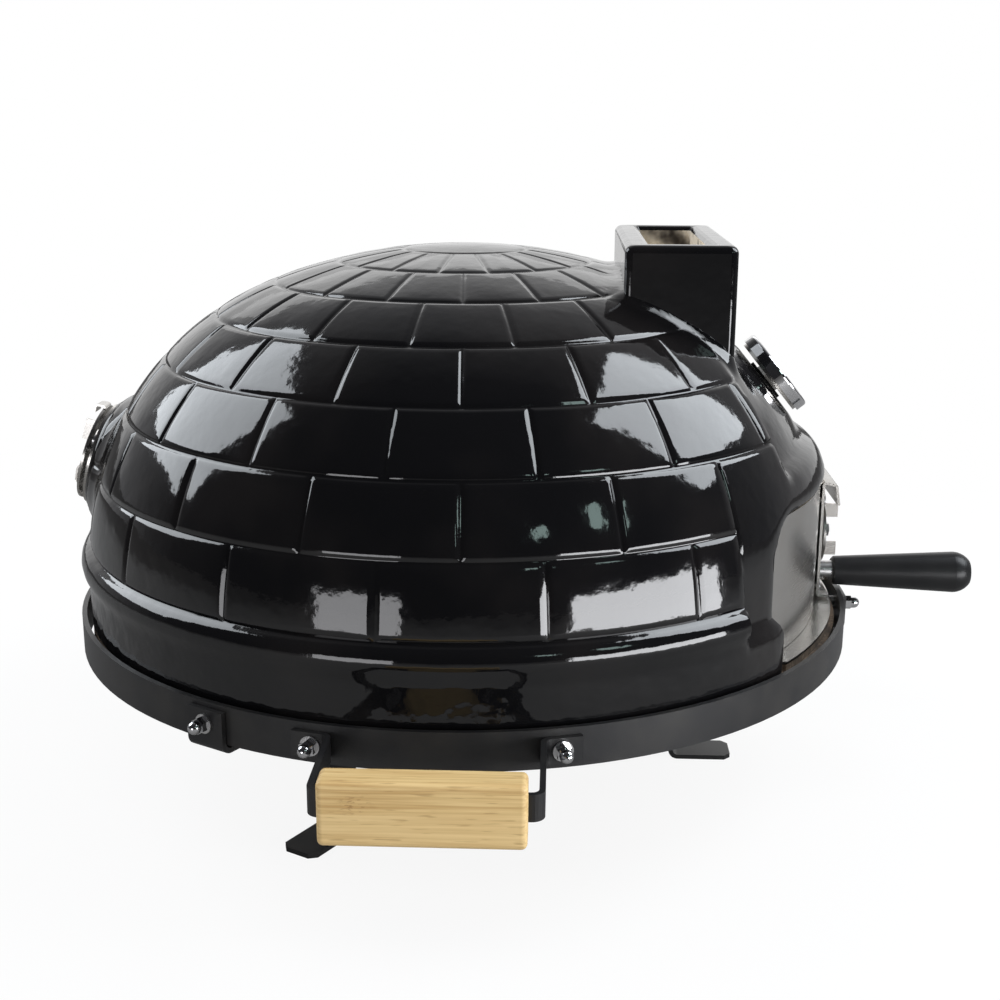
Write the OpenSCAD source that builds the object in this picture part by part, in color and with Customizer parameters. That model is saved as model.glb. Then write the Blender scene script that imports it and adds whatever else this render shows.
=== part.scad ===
// Countertop pizza oven: a glazed ceramic dome with brick relief on a banded base with three legs.
// The front faces -Y, Z is up, and the feet stand on Z = 0. All sizes are in millimetres.

/* [Base] */
// Outer radius of the steel band
band_r = 250; // [235:1:270]
// Height of the steel band
band_h = 22; // [18:1:30]
// Thickness of the band's steel
band_t = 3; // [2:0.5:4]
// Height of the band's lower edge above the ground
stand_h = 100; // [80:1:130]
// How far the slab reaches below the band
slab_drop = 2.5; // [1:0.5:4]
// Gap between the slab and the band, where the bolt heads sit
slab_gap = 3.5; // [3.2:0.1:6]
// Depth of the dome's seat below the band's upper edge
seat_depth = 6; // [4:0.5:8]
// Thickness of the stainless floor plate
floor_t = 1.5; // [1:0.1:3]
// How far the floor plate stands above the band's upper edge
floor_proud = 0.3; // [0.1:0.1:1]
// Distance from the band's outer face to the landing's edge
landing_inset = 9; // [7:0.5:14]
// Radius of the baking stone
stone_r = 165; // [120:1:190]
// Thickness of the baking stone
stone_t = 12; // [8:1:20]

/* [Dome] */
// How far the upright part of the dome lies inside the band's outer face
dome_inset = 7; // [6:0.5:12]
// Radius of the flat arc over the crown
crown_r = 345; // [300:5:420]
// Arc length from the crown to the first course of bricks
cap_s = 39; // [30:1:50]
// Height of a course of bricks along the surface
course_h = 42.2; // [38:0.2:45]
// Courses on the crown arc
crown_courses = 2; // [1:1:2]
// Courses on the shoulder arc
shoulder_courses = 5; // [4:1:5]
// Bricks in a course
bricks = 17; // [12:1:24]
// Turn of the upright joints against the front
brick_turn = 2.3; // [0:0.1:10]
// Width of the upright joints between bricks
joint_w = 4.6; // [3:0.2:6]
// Depth of the joints between bricks
joint_d = 2; // [1.2:0.1:3]
// Thickness of the ceramic wall
wall_t = 24; // [18:1:30]
// Height of the lowest joint above the band's upper edge
ledge_h = 44; // [40:1:52]
// How far the ledge under the bricks stands out
ledge_proud = 5; // [3:0.5:6]
// Radius of the ledge's round edge
ledge_round = 12; // [9:0.5:14]

/* [Portal] */
// Half the angle of the smooth portal round the mouth
portal_a = 47; // [44:1:52]
// How far the portal's face lies inside the upright part of the dome
portal_step = 5; // [2:0.5:8]
// Width of the mouth
mouth_w = 300; // [280:1:310]
// Height of the mouth above the band's upper edge
mouth_h = 86; // [78:1:92]
// Radius of the mouth's upper corners
mouth_round = 28; // [20:1:36]
// Height of the portal's crown above the band's upper edge
hood_h = 97; // [92:1:104]
// Radius of the hood's rounded crown
hood_round = 20; // [14:1:24]
// Half the angle of the recessed panel above the hood
panel_a = 31; // [28:1:34]
// Depth of the recessed panel above the hood
panel_d = 8; // [4:0.5:10]
// Step of the mouth behind the door
rebate = 7; // [4:0.5:10]

/* [Chimney] */
// Width of the chimney
chimney_w = 166; // [140:1:180]
// Length of the chimney from front to rear
chimney_l = 66; // [48:1:70]
// Distance of the chimney's rear face from the dome's axis
chimney_f = 98; // [95:1:110]
// Height of the chimney's top above the band's upper edge
chimney_h = 232; // [230:1:260]
// Thickness of the chimney's wall
chimney_wall = 12; // [9:0.5:15]
// Radius of the chimney's edges
chimney_round = 7; // [4:0.5:10]

/* [Legs] */
// Width of the leg strips
leg_w = 25; // [20:1:32]
// Thickness of the strips
strip_t = 3; // [2:0.5:4]
// Distance of the upright part of a leg from the axis
leg_r = 141; // [120:1:170]
// Length of a foot pad
pad_l = 41; // [30:1:55]
// Distance of the strip's upper end below the band's upper edge
clip_drop = 3; // [1:0.5:5]
// Bend radius of the strips, on the middle line
bend_r = 5; // [3:0.5:8]

/* [Side handles] */
// Length of a bamboo grip
grip_l = 98; // [80:1:104]
// Height of a bamboo grip
grip_h = 33; // [28:1:44]
// Thickness of a bamboo grip
grip_t = 18; // [14:1:24]
// Distance of the grip's back face from the band
grip_off = 60; // [40:1:70]
// How far the middle of the grip lies above the middle of the brackets
grip_lift = 3.5; // [0:0.5:5]
// Distance of a bracket's arm from the middle of the handle
arm_y = 55.5; // [54.5:0.5:64]
// Width of the bracket strips
bracket_w = 14; // [12:1:20]
// Length of the tab behind the grip
tab_l = 26; // [20:1:32]

/* [Fasteners] */
// Radius of the bolts
bolt_r = 2.5; // [2.5:0.5:4]
// Width across the flats of the nuts
nut_af = 8; // [8:0.5:13]
// Running clearance on a radius
run_fit = 0.05; // [0.02:0.01:0.1]
// Gap between pieces that move past each other
gap = 0.3; // [0.2:0.05:0.5]

/* [Thermometer] */
// Angle of the thermometer's axis from upright
thermo_a = 51; // [48:1:54]
// Radius of the bezel
bezel_r = 28; // [24:0.5:32]
// Depth of the flat seat below the dome's surface
thermo_seat = 10; // [8:0.5:12]
// Length of the stem inside the oven
stem_l = 45; // [30:1:70]

/* [Vents] */
// Angle of the rear vent's axis from upright
vent_a = 72.7; // [70:0.1:76]
// Radius of the rear vent's boss
boss_r = 38; // [36:0.5:44]
// How far the boss stands out of the dome
boss_proud = 7; // [5:0.5:9]
// Radius of the rear damper disc
vent_r = 32; // [29:0.5:33]
// Thickness of the vent plates
vent_t = 1.6; // [1.2:0.1:2.5]
// Radius of the door damper disc
door_vent_r = 21; // [19:0.5:22]
// Height of the door damper above the band's upper edge
door_vent_h = 40; // [38:0.5:42]

/* [Door] */
// How far the door's outer face lies inside the upright part of the dome
door_inset = 13; // [10:0.5:17]
// Thickness of the door panel
door_t = 2.4; // [1.5:0.1:3.5]
// Gap between the door and the mouth
door_gap = 2.5; // [1:0.5:4]
// Width of the flat plate on the door
plate_w = 56; // [48:1:64]
// Height of the door handle above the band's upper edge
handle_h = 11.5; // [11:0.5:14]
// How far the door handle reaches past the band
handle_off = 85; // [60:1:100]
// Radius of the door handle at its root
handle_root_r = 9.5; // [8:0.5:10.5]
// Radius of the door handle at its end
handle_end_r = 13.5; // [11:0.5:15]

/* [Hidden] */
$fn = 96;

// Heights and radii that follow from the sizes
rim_z = stand_h + band_h;
bolt_z = rim_z - band_h / 2;
slab_bottom = stand_h - slab_drop;
slab_top = rim_z - seat_depth;
floor_top = rim_z + floor_proud;
slab_r = band_r - band_t - slab_gap;
dome_r = band_r - dome_inset;
portal_r = dome_r - portal_step;
door_r = dome_r - door_inset;
grip_reach = band_r + grip_off;
handle_reach = band_r + handle_off;
skirt_r = dome_r + 1;
cavity_r = dome_r - wall_t;

// The dome's outline: a crown arc about the axis and a shoulder arc that meets it without a corner
crown_end = (cap_s + crown_courses * course_h) / crown_r * 180 / PI;
shoulder_r = (dome_r - crown_r * sin(crown_end)) / (1 - sin(crown_end));
shoulder_step = course_h / shoulder_r * 180 / PI;
shoulder_end = crown_end + shoulder_courses * shoulder_step;
shoulder_x = (crown_r - shoulder_r) * sin(crown_end);
shoulder_z = rim_z + ledge_h - shoulder_r * cos(shoulder_end);
crown_z = shoulder_z + (shoulder_r - crown_r) * cos(crown_end);
ledge_x = dome_r + ledge_proud - ledge_round;
ledge_z = rim_z + ledge_h - ledge_round + 2;

// Points of the outline at an angle from upright
function on_shoulder(a, out = 0) =
    [shoulder_x + (shoulder_r + out) * sin(a), shoulder_z + (shoulder_r + out) * cos(a)];
function on_crown(a) = [crown_r * sin(a), crown_z + crown_r * cos(a)];

// Place of the oven's axis, so that the origin lies under the middle of the whole object
thermo_p = on_shoulder(thermo_a);
vent_p = on_shoulder(vent_a);
vent_lift = boss_proud + vent_t + 3;
vent_top = vent_lift + gap + vent_t;
fin_out = 10.5;
rear_reach = vent_p[0] + (vent_top + fin_out) * sin(vent_a);
axis_y = (handle_reach - rear_reach) / 2;

module place() { translate([0, axis_y, 0]) children(); }
// Turn to a bearing from the front, counter-clockwise from above: X then points outwards
module bearing(a) { rotate([0, 0, a - 90]) children(); }
// Stand an outline drawn in radius and height upright
module upright(w) { rotate([90, 0, 0]) linear_extrude(w, center = true) children(); }

// Outlines
function arc(c, r, a0, a1, n = 6) =
    [for (k = [0:n]) let (a = a0 + (a1 - a0) * k / n) c + r * [cos(a), sin(a)]];
function round_box(x0, x1, y0, y1, r) = concat(
    arc([x1 - r, y1 - r], r, 0, 90), arc([x0 + r, y1 - r], r, 90, 180),
    arc([x0 + r, y0 + r], r, 180, 270), arc([x1 - r, y0 + r], r, 270, 360));
// A box with only its upper corners round
function arch_box(w, y0, y1, r) = concat(
    arc([w - r, y1 - r], r, 0, 90), arc([r - w, y1 - r], r, 90, 180), [[-w, y0], [w, y0]]);

// Bent strips: a middle line with rounded corners, and the outline of a strip along it
function unit(v) = v / norm(v);
function left(v) = [-v[1], v[0]];
function bend(p, q, s, r, n = 6) =
    let (a = unit(p - q), b = unit(s - q), half = acos(a * b) / 2, turn = 180 - 2 * half,
        c = q + unit(a + b) * r / sin(half), u = q + a * r / tan(half) - c, v = q + b * r / tan(half) - c)
    [for (k = [0:n]) c + (u * sin(turn * (1 - k / n)) + v * sin(turn * k / n)) / sin(turn)];
function round_line(p, r) = concat([p[0]],
    [for (i = [1:len(p) - 2]) each bend(p[i - 1], p[i], p[i + 1], r)], [p[len(p) - 1]]);
function beside(p, d) = [for (i = [0:len(p) - 1])
    let (u = unit(i == 0 ? p[1] - p[0] : p[i] - p[i - 1]),
        v = i == len(p) - 1 ? u : unit(p[i + 1] - p[i]), m = unit(left(u) + left(v)))
    p[i] + m * d / (m * left(u))];
function reversed(p) = [for (i = [len(p) - 1:-1:0]) p[i]];
module strip(p, t, r) {
    line = round_line(p, r);
    polygon(concat(beside(line, t / 2), reversed(beside(line, -t / 2))));
}

// Dome

// Half outline of the dome, drawn inwards by a wall, down to a height
function outline(inset, bottom) = concat(
    arc([0, crown_z], crown_r - inset, 90, 90 - crown_end, 6),
    arc([shoulder_x, shoulder_z], shoulder_r - inset, 90 - crown_end, 0, 18),
    [[dome_r - inset, bottom], [0, bottom]]);

// Round joints between the courses, and their angles from upright
function crown_joint(i) = (cap_s + i * course_h) / crown_r * 180 / PI;
function shoulder_joint(i) = crown_end + i * shoulder_step;
module course_joint(p) { translate(p) circle(joint_d, $fn = 8); }
module crown_joints() { for (i = [0:crown_courses]) course_joint(on_crown(crown_joint(i))); }
module shoulder_joints(from, to) { for (i = [from:to]) course_joint(on_shoulder(shoulder_joint(i))); }

// One upright joint: a bar along an arc of the outline, between two angles from upright
module joint_bar(c, r, a0, a1) {
    upright(joint_w) polygon(concat(arc(c, r + joint_d, 90 - a0, 90 - a1, 3),
        reversed(arc(c, r - 0.8 * joint_d, 90 - a0, 90 - a1, 3))));
}

// Upright joints of every course, staggered by half a brick, but for those where the portal is
module upright_joints() {
    courses = crown_courses + shoulder_courses;
    for (i = [0:courses - 1], k = [0:bricks - 1]) {
        a = (k + 0.5 * ((courses - i) % 2)) * 360 / bricks - brick_turn;
        j = i - crown_courses;
        if (j < 0)
            bearing(a) joint_bar([0, crown_z], crown_r, crown_joint(i), crown_joint(i + 1));
        else if (j < portal_course || (a > portal_a && a < 360 - portal_a))
            bearing(a) joint_bar([shoulder_x, shoulder_z], shoulder_r,
                shoulder_joint(j), shoulder_joint(j + 1));
    }
}

// The portal reaches up to the joint over two courses
portal_course = shoulder_courses - 2;

// Section of the ledge and skirt below the bricks
module ledge_section() {
    inner = dome_r - ledge_round;
    foot_a = acos((skirt_r - ledge_x) / ledge_round);
    polygon(concat([[inner, stand_h], [skirt_r, stand_h]],
        arc([ledge_x, ledge_z], ledge_round, -foot_a, 90, 12), [[inner, ledge_z + ledge_round]]));
}

// Section of what is missing above the hood, where the panel is recessed
hood_a = acos((rim_z + hood_h - shoulder_z) / shoulder_r);
panel_r = chimney_f + chimney_l - chimney_wall / 2;
module panel_recess() {
    difference() {
        translate([panel_r, rim_z + hood_h]) square([dome_r, chimney_h]);
        polygon(outline(panel_d, slab_top));
        translate(on_shoulder(hood_a, -hood_round)) circle(hood_round, $fn = 48);
    }
}

// A section revolved between two bearings
module sector(from, to) { bearing(from) rotate_extrude(angle = to - from) children(); }

// Solid dome with its courses, ledge, portal and recessed panel, drawn down past its seat.
// The ledge and the lower joints run a little into the portal, which then trims them.
module brick_dome() {
    lap = 1;
    difference() {
        union() {
            rotate_extrude() polygon(outline(0, slab_bottom));
            sector(portal_a - lap, 360 - portal_a + lap) ledge_section();
        }
        rotate_extrude() crown_joints();
        rotate_extrude() shoulder_joints(1, portal_course);
        sector(portal_a - lap, 360 - portal_a + lap) shoulder_joints(portal_course + 1, shoulder_courses);
        sector(-portal_a, portal_a) translate([portal_r, 0]) square([band_r, 2 * band_r]);
        sector(-panel_a, panel_a) panel_recess();
        upright_joints();
    }
}

// A mouth-shaped bar along the front
module mouth_bar(w, h, r) {
    translate([0, -cavity_r / 2, 0]) rotate([90, 0, 0]) linear_extrude(band_r)
        polygon(arch_box(w, 0, h, r));
}

// Outside of the chimney, with every edge rounded
module chimney_block() {
    x0 = chimney_f;
    x1 = chimney_f + chimney_l;
    half = chimney_w / 2;
    top = rim_z + chimney_h;
    bearing(0) intersection() {
        linear_extrude(top) polygon(round_box(x0, x1, -half, half, chimney_round));
        upright(chimney_w + 2) polygon(round_box(x0, x1, rim_z, top, chimney_round));
        rotate([90, 0, 90]) linear_extrude(x1 + 1) polygon(round_box(-half, half, rim_z, top, chimney_round));
    }
}

// Round boss that carries the rear vent
module vent_boss() {
    edge = 5;
    top = wall_t + boss_proud;
    vent_axis() translate([0, 0, -wall_t]) rotate_extrude()
        polygon(concat([[0, 0], [boss_r, 0]], arc([boss_r - edge, top - edge], edge, 0, 90), [[0, top]]));
}

// Axes square to the dome's surface: Z then points outwards
module normal_axis(a, p, tilt) { bearing(a) translate([p[0], 0, p[1]]) rotate([0, tilt, 0]) children(); }
module thermo_axis() { normal_axis(0, thermo_p, thermo_a) children(); }
module vent_axis() { normal_axis(180, vent_p, vent_a) children(); }
vent_hole_r = boss_r - 14;
neck_r = 6;

// Glazed ceramic dome, cast in one piece
module dome() {
    color("#0c0c0e") place() difference() {
        union() {
            brick_dome();
            chimney_block();
            vent_boss();
        }
        rotate_extrude() polygon(outline(wall_t, 0));
        cylinder(r = 2 * band_r, h = slab_top);
        mouth_bar(mouth_w / 2 - rebate, rim_z + mouth_h - rebate, mouth_round - rebate);
        difference() {
            mouth_bar(mouth_w / 2, rim_z + mouth_h, mouth_round);
            translate([0, 0, -1]) cylinder(r = door_r - door_t - gap, h = 2 * band_r);
        }
        bearing(0) translate([0, 0, rim_z + ledge_h]) linear_extrude(chimney_h)
            polygon(round_box(chimney_f + chimney_wall, chimney_f + chimney_l - chimney_wall,
                chimney_wall - chimney_w / 2, chimney_w / 2 - chimney_wall, chimney_round));
        thermo_axis() {
            translate([0, 0, -thermo_seat]) cylinder(r = bezel_r + 5, h = 3 * thermo_seat);
            translate([0, 0, -2 * wall_t]) cylinder(r = neck_r + 0.5, h = 2 * wall_t);
        }
        vent_axis() {
            translate([0, 0, -2 * wall_t]) cylinder(r = vent_hole_r, h = 3 * wall_t);
            for (k = [0:2]) rotate([0, 0, 120 * k]) translate([vent_screw_f, 0, boss_proud - pilot_l])
                cylinder(r = screw_r + run_fit, h = 2 * pilot_l);
        }
    }
}

// Base

// Plan of the floor with its landing, drawn inwards
module floor_plan(inset) {
    circle(cavity_r - 2 - inset);
    intersection() {
        circle(band_r - landing_inset - inset);
        translate([0, -band_r / 2]) square([mouth_w - 2 * rebate - 2 - 2 * inset, band_r], center = true);
    }
}

// Refractory slab with a raised bed for the floor plate
module base_slab() {
    color("#3a2f2a") place() {
        translate([0, 0, slab_bottom]) cylinder(r = slab_r, h = slab_top - slab_bottom);
        translate([0, 0, slab_top]) linear_extrude(floor_top - floor_t - slab_top) floor_plan(0.5);
    }
}

leg_bearings = [0, 120, 240];
washer_r = bolt_r + 3;
// Bearing of a bracket's bolt from the middle of its handle, clear of the bend to the arm
bracket_a = asin((arm_y + washer_r + 0.7 * bend_r) / band_r);
bracket_bearings = [for (side = [90, 270], s = [-1, 1]) side + s * bracket_a];

// Radial places along a bolt through the band
plate_in = band_r + 0.2;
plate_out = plate_in + strip_t;
washer_t = 1.2;
nut_in = plate_out + washer_t;
hex_h = 4.4;
head_t = 2.6;
head_r = bolt_r + 2;
head_out = sqrt(pow(band_r - band_t, 2) - pow(head_r, 2));
hole_r = bolt_r + 0.2;

module radial(a, from) { bearing(a) translate([from, 0, bolt_z]) rotate([0, 90, 0]) children(); }

// Steel hoop with holes for the bolts
module base_band() {
    color("#1b1b1c") place() difference() {
        translate([0, 0, stand_h]) rotate_extrude() translate([band_r - band_t, 0]) square([band_t, band_h]);
        for (a = concat(leg_bearings, bracket_bearings))
            radial(a, band_r - 3 * band_t) cylinder(r = hole_r, h = 6 * band_t);
    }
}

// Stainless floor and landing
module floor_plate() {
    color("#b9b9b6") place() translate([0, 0, floor_top - floor_t]) linear_extrude(floor_t) floor_plan(0);
}

// Loose baking stone
module pizza_stone() {
    edge = 3;
    color("#d8c9a8") place() translate([0, 0, floor_top]) rotate_extrude() polygon(concat(
        [[0, 0], [stone_r - 1, 0], [stone_r, 1]],
        arc([stone_r - edge, stone_t - edge], edge, 0, 90), [[0, stone_t]]));
}

// Bolts, washers and acorn nuts
module bolt_at(a) {
    from = head_out - head_t;
    radial(a, from) {
        cylinder(r = head_r, h = head_t);
        cylinder(r = bolt_r, h = nut_in + hex_h - from);
    }
}
module washer_at(a) {
    radial(a, plate_out) difference() {
        cylinder(r = washer_r, h = washer_t);
        translate([0, 0, -1]) cylinder(r = hole_r, h = washer_t + 2);
    }
}
module acorn_at(a) {
    cap_r = nut_af * 0.46;
    cap_l = 2;
    radial(a, nut_in) difference() {
        union() {
            cylinder(r = nut_af / 2 / cos(30), h = hex_h, $fn = 6);
            cylinder(r = cap_r, h = hex_h + cap_l);
            translate([0, 0, hex_h + cap_l]) sphere(cap_r);
        }
        translate([0, 0, -1]) cylinder(r = bolt_r + run_fit, h = hex_h + 1.5);
    }
}

// Legs

// One bent strip: clip on the band, run under the slab, upright and foot pad
module leg(a) {
    line = [[plate_in + strip_t / 2, rim_z - clip_drop], [plate_in + strip_t / 2, slab_bottom - strip_t / 2],
        [leg_r, slab_bottom - strip_t / 2], [leg_r, strip_t / 2], [leg_r + pad_l, strip_t / 2]];
    corner = 6;
    color("#1b1b1c") place() difference() {
        bearing(a) difference() {
            upright(leg_w) strip(line, strip_t, bend_r);
            for (s = [-1, 1]) translate([leg_r + pad_l, s * leg_w / 2, -1]) rotate([0, 0, 45])
                cube([corner, corner, 4 * strip_t], center = true);
        }
        radial(a, band_r - band_t) cylinder(r = hole_r, h = 4 * strip_t);
    }
}
module leg_front() { leg(leg_bearings[0]); }
module leg_rear_right() { leg(leg_bearings[1]); }
module leg_rear_left() { leg(leg_bearings[2]); }
module leg_bolts() { color("silver") place() for (a = leg_bearings) bolt_at(a); }
module leg_washers() { color("silver") place() for (a = leg_bearings) washer_at(a); }
module leg_nuts() { color("silver") place() for (a = leg_bearings) acorn_at(a); }

// Side handles

tab_x = grip_reach - strip_t / 2;
screw_y = arm_y - strip_t - tab_l / 2;
screw_r = 2;

// One bent strip from the band to the back of the grip
module bracket(side, s) {
    mid = plate_in + strip_t / 2;
    along = (arm_y - mid * sin(bracket_a)) / cos(bracket_a);
    line = [[mid * cos(bracket_a) - 11 * sin(bracket_a), s * (mid * sin(bracket_a) + 11 * cos(bracket_a))],
        [mid * cos(bracket_a) - along * sin(bracket_a), s * arm_y],
        [tab_x, s * arm_y], [tab_x, s * (arm_y - tab_l)]];
    color("#1b1b1c") place() difference() {
        bearing(side) difference() {
            translate([0, 0, bolt_z]) linear_extrude(bracket_w, center = true) strip(line, strip_t, bend_r);
            translate([tab_x - 2 * strip_t, s * screw_y, bolt_z]) rotate([0, 90, 0])
                cylinder(r = screw_r + 0.2, h = 4 * strip_t);
        }
        radial(side + s * bracket_a, band_r - band_t) cylinder(r = hole_r, h = 4 * strip_t);
    }
}
module left_front_bracket() { bracket(270, 1); }
module left_rear_bracket() { bracket(270, -1); }
module right_front_bracket() { bracket(90, -1); }
module right_rear_bracket() { bracket(90, 1); }

// One bamboo bar with rounded edges
module grip(side) {
    z = bolt_z + grip_lift;
    color("#d9b77c") place() bearing(side) difference() {
        intersection() {
            upright(grip_l)
                polygon(round_box(grip_reach, grip_reach + grip_t, z - grip_h / 2, z + grip_h / 2, 5));
            translate([0, 0, z]) linear_extrude(grip_h + 2, center = true)
                polygon(round_box(grip_reach - 4, grip_reach + grip_t, -grip_l / 2, grip_l / 2, 3));
        }
        for (s = [-1, 1]) translate([grip_reach - 1, s * screw_y, bolt_z]) rotate([0, 90, 0])
            cylinder(r = screw_r + run_fit, h = grip_t * 0.7);
    }
}
module left_grip() { grip(270); }
module right_grip() { grip(90); }
module grip_screws() {
    color("silver") place() for (side = [90, 270], s = [-1, 1]) bearing(side)
        translate([grip_reach - strip_t, s * screw_y, bolt_z]) rotate([0, 90, 0]) {
            cylinder(r = screw_r, h = strip_t + grip_t * 0.6);
            translate([0, 0, -2]) cylinder(r = 2 * screw_r, h = 2);
        }
}
module bracket_bolts() { color("silver") place() for (a = bracket_bearings) bolt_at(a); }
module bracket_washers() { color("silver") place() for (a = bracket_bearings) washer_at(a); }
module bracket_nuts() { color("silver") place() for (a = bracket_bearings) acorn_at(a); }

// Thermometer

spindle_r = 1;
stem_r = 3;
case_r = bezel_r - 2;
dial_z = -4.5;
dial_t = 1;
pointer_z = dial_z + dial_t + 1;
gasket_t = 2;
case_back = dial_z - 2;
stem_top = case_back + 1;
neck_end = -wall_t - 8;
glass_z = dial_z + 4.1;
glass_t = 2;
bezel_top = glass_z + 3.4;

// Black seal ring on the flat seat
module thermometer_gasket() {
    color("#222222") place() thermo_axis() translate([0, 0, -thermo_seat]) difference() {
        cylinder(r = 2.3 * neck_r, h = gasket_t);
        translate([0, 0, -1]) cylinder(r = neck_r + 0.3, h = gasket_t + 2);
    }
}

// Cup with a threaded neck through the wall
module thermometer_case() {
    shoulder = gasket_t - thermo_seat;
    color("#c9c9c9") place() thermo_axis() difference() {
        union() {
            translate([0, 0, case_back]) cylinder(r = case_r, h = glass_z - case_back);
            translate([0, 0, shoulder]) cylinder(r = 1.6 * neck_r, h = case_back - shoulder, $fn = 6);
            translate([0, 0, neck_end]) cylinder(r = neck_r, h = case_back - neck_end);
        }
        translate([0, 0, dial_z]) cylinder(r = case_r - 1.2, h = bezel_top - dial_z);
        translate([0, 0, neck_end - 1]) cylinder(r = stem_r + run_fit, h = stem_top - neck_end + 1);
        translate([0, 0, neck_end]) cylinder(r = spindle_r + gap, h = bezel_top - neck_end);
    }
}

// Chrome ring that holds the glass
module thermometer_bezel() {
    color("#e2e2e2") place() thermo_axis() rotate_extrude()
        polygon(concat([[case_r + 0.1, case_back + 2], [bezel_r, case_back + 2]],
            arc([bezel_r - 2, bezel_top - 2], 2, 0, 90), [[case_r - 2.6, bezel_top - 0.8],
            [case_r - 2.6, glass_z + glass_t + 0.1], [case_r + 0.1, glass_z + glass_t + 0.1]]));
}

// White dial plate
module thermometer_dial() {
    color("white") place() thermo_axis() translate([0, 0, dial_z]) difference() {
        cylinder(r = case_r - 1.4, h = dial_t);
        translate([0, 0, -1]) cylinder(r = spindle_r + gap, h = dial_t + 2);
    }
}
module thermometer_glass() {
    color([0.8, 0.9, 0.95, 0.4]) place() thermo_axis() translate([0, 0, glass_z])
        cylinder(r = case_r - 0.1, h = glass_t);
}

// Needle on the spindle of the stem
module thermometer_pointer() {
    tip = 0.75 * case_r;
    hub_t = 1;
    color("black") place() thermo_axis() translate([0, 0, pointer_z]) difference() {
        union() {
            cylinder(r = 2.5 * spindle_r, h = hub_t);
            linear_extrude(0.6 * hub_t) polygon([[-2, 7], [2, 7], [0.4, -tip], [-0.4, -tip]]);
        }
        translate([0, 0, -1]) cylinder(r = spindle_r + run_fit, h = hub_t + 2);
    }
}

// Probe inside the oven with the spindle of the pointer
module thermometer_stem() {
    color("#c9c9c9") place() thermo_axis() {
        translate([0, 0, -wall_t - stem_l]) cylinder(r = stem_r, h = wall_t + stem_l + stem_top);
        translate([0, 0, case_back]) cylinder(r = spindle_r, h = pointer_z + 1.6 - case_back);
    }
}

// Lock nut against the inner wall
module thermometer_nut() {
    color("#c9c9c9") place() thermo_axis() translate([0, 0, -wall_t - 6]) difference() {
        cylinder(r = 1.7 * neck_r, h = 5, $fn = 6);
        translate([0, 0, -1]) cylinder(r = neck_r + run_fit, h = 7);
    }
}

// Vents

pivot_r = 2.5;
vent_screw_f = boss_r - 8;
pilot_l = 9;
port_ring = 0.53;
port_size = 0.22;

// A disc with four ports and a bore
module ported_disc(r, ring_r, t) {
    difference() {
        cylinder(r = r, h = t);
        translate([0, 0, -1]) cylinder(r = pivot_r + run_fit, h = t + 2);
        for (k = [0:3]) rotate([0, 0, 45 + 90 * k]) translate([port_ring * ring_r, 0, -1])
            cylinder(r = port_size * ring_r, h = t + 2);
    }
}
module pivot(from, to) {
    translate([0, 0, from - 2.5]) cylinder(r = pivot_r + 2.5, h = 2.5);
    translate([0, 0, from]) cylinder(r = pivot_r, h = to - from);
}
module pivot_nut() {
    difference() {
        cylinder(r = nut_af / 2 / cos(30), h = 4.5, $fn = 6);
        translate([0, 0, -1]) cylinder(r = pivot_r + run_fit, h = 7);
    }
}
module spacer(h) {
    difference() {
        cylinder(r = 2 * pivot_r, h = h);
        translate([0, 0, -1]) cylinder(r = pivot_r + run_fit, h = h + 2);
    }
}

// Fixed plate on the boss
module rear_vent_plate() {
    color("#b9b9b6") place() vent_axis() translate([0, 0, boss_proud]) difference() {
        ported_disc(boss_r - 4, vent_r, vent_t);
        for (k = [0:2]) rotate([0, 0, 120 * k]) translate([vent_screw_f, 0, -1])
            cylinder(r = screw_r + 0.2, h = vent_t + 2);
    }
}
module rear_vent_screws() {
    color("silver") place() vent_axis() for (k = [0:2]) rotate([0, 0, 120 * k])
        translate([vent_screw_f, 0, boss_proud + vent_t]) {
            cylinder(r = 1.8 * screw_r, h = 1.4);
            translate([0, 0, 1 - vent_t - pilot_l]) cylinder(r = screw_r, h = vent_t + pilot_l - 1);
        }
}
module rear_vent_spacer() {
    from = boss_proud + vent_t;
    color("silver") place() vent_axis() translate([0, 0, from]) spacer(vent_lift - from);
}

// Turning disc with a fin, a pressed hood and a curled lip
module rear_vent_damper() {
    clear = 0.58 * nut_af + 1.2;
    fin_l = 14;
    color("#b9b9b6") place() vent_axis() translate([0, 0, vent_lift + gap]) {
        ported_disc(vent_r, vent_r, vent_t);
        translate([-clear - fin_l / 2, 0, vent_t + fin_out / 2])
            cube([fin_l, vent_t, fin_out], center = true);
        upright(14) strip([[24, vent_t / 2], [22, 8], [12, 9], [clear + 1, vent_t / 2]], 1.2, 3);
        upright(12) strip([[3 - vent_r, vent_t / 2], [-vent_r - 1, vent_t / 2], [-vent_r, 7],
            [5 - vent_r, 7]], 1.2, 1.5);
    }
}
module rear_vent_pivot() { color("silver") place() vent_axis() pivot(boss_proud, vent_top + gap + 5); }
module rear_vent_nut() { color("silver") place() vent_axis() translate([0, 0, vent_top + gap]) pivot_nut(); }

// Door

door_bottom = floor_top + gap;
door_top = rim_z + mouth_h - door_gap;
door_half = mouth_w / 2 - door_gap;
plate_f = door_r + gap;
plate_outer = plate_f + vent_t;
damper_f = plate_outer + 2;
damper_outer = damper_f + gap + vent_t;
door_vent_z = rim_z + door_vent_h;
handle_z = rim_z + handle_h;
stud_r = 4;
rivets = [for (x = [-1, 1], z = [rim_z + 8, door_top - 18]) [x * (plate_w / 2 - 6), z]];

// Turn to the front: Z then points out of the door, at a distance from the axis and a height
module door_axis(f, x, z) { translate([x, -f, z]) rotate([90, 0, 0]) children(); }

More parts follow.
